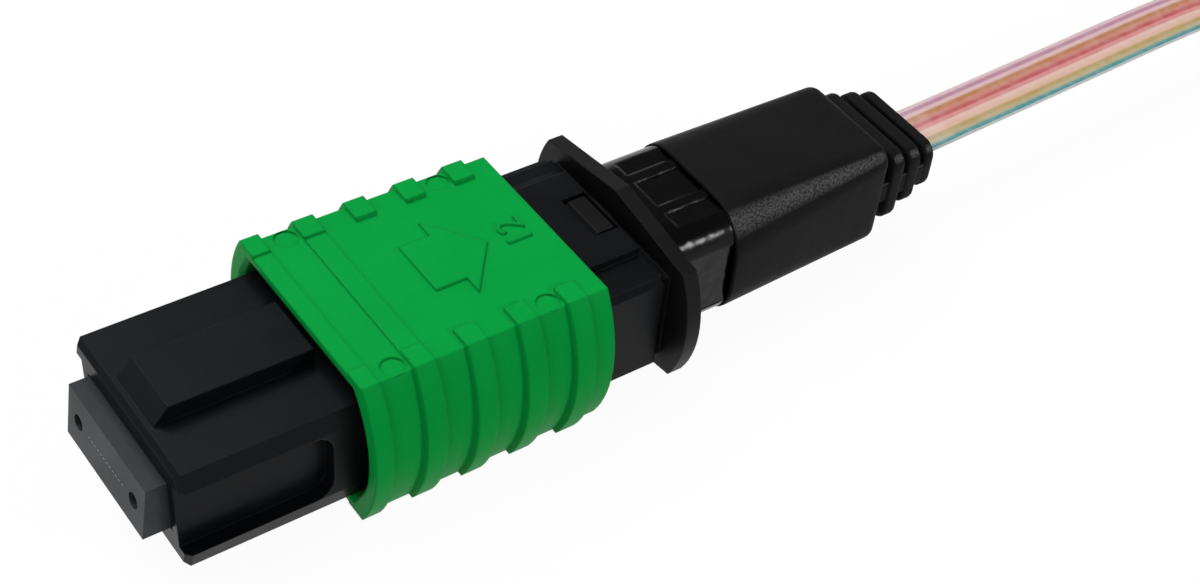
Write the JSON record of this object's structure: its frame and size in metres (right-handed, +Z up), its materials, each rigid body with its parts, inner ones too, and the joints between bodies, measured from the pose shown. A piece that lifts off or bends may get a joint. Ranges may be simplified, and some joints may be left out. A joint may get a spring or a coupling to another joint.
{
  "type": "multi-fibre push-on connector",
  "caption": "Push-pull multi-fibre ribbon connector: keyed black plug, ribbed sliding green sleeve, crimp ring, slotted strain boot and flat fibre ribbon.",
  "frame": {"origin": "centre of the ferrule's end face, at rest", "axes": "+X rearwards along the connector to the ribbon, +Z up to the key side, +Y across"},
  "size_m": [0.0923, 0.0356, 0.0076],
  "materials": {
    "ferrule_resin": "satin moulded, filled resin",
    "silica_fibre": "polished",
    "cured_epoxy": "gloss",
    "silicone_grommet": "matte",
    "keeper_resin": "satin",
    "spring_steel": "drawn wire",
    "housing_resin": "fine satin",
    "sleeve_resin": "fine satin",
    "push_resin": "fine satin",
    "black_crimp_metal": "gloss black",
    "boot_rubber": "matte",
    "ribbon_coating": "soft gloss"
  },
  "bodies": {
    "housing": {"front_housing": "housing_resin", "spring_push": "push_resin", "crimp_ring": "black_crimp_metal", "strain_boot": "boot_rubber", "ribbon_inner": "ribbon_coating", "ribbon_held": "ribbon_coating", "ribbon_run": "ribbon_coating", "ribbon_coil": "ribbon_coating", "main_spring": "spring_steel", "return_spring_near": "spring_steel", "return_spring_far": "spring_steel"},
    "ferrule": {"ferrule": "ferrule_resin", "fibre_array": "silica_fibre", "epoxy_fill": "cured_epoxy", "ferrule_grommet": "silicone_grommet", "pin_keeper": "keeper_resin"},
    "sleeve": {"coupling_sleeve": "sleeve_resin"}
  },
  "joints": [
    {"name": "ferrule_float", "type": "slide", "parent": "housing", "child": "ferrule", "axis": [1, 0, 0], "range_m": [0, 0.0009], "stiffness_N_per_m": 2000, "springref_m": -0.002, "deforming": ["main_spring", "ribbon_inner"]},
    {"name": "sleeve_pull", "type": "slide", "parent": "housing", "child": "sleeve", "axis": [1, 0, 0], "range_m": [0, 0.0018], "stiffness_N_per_m": 600, "springref_m": -0.003, "deforming": ["return_spring_near", "return_spring_far"]}
  ]
}
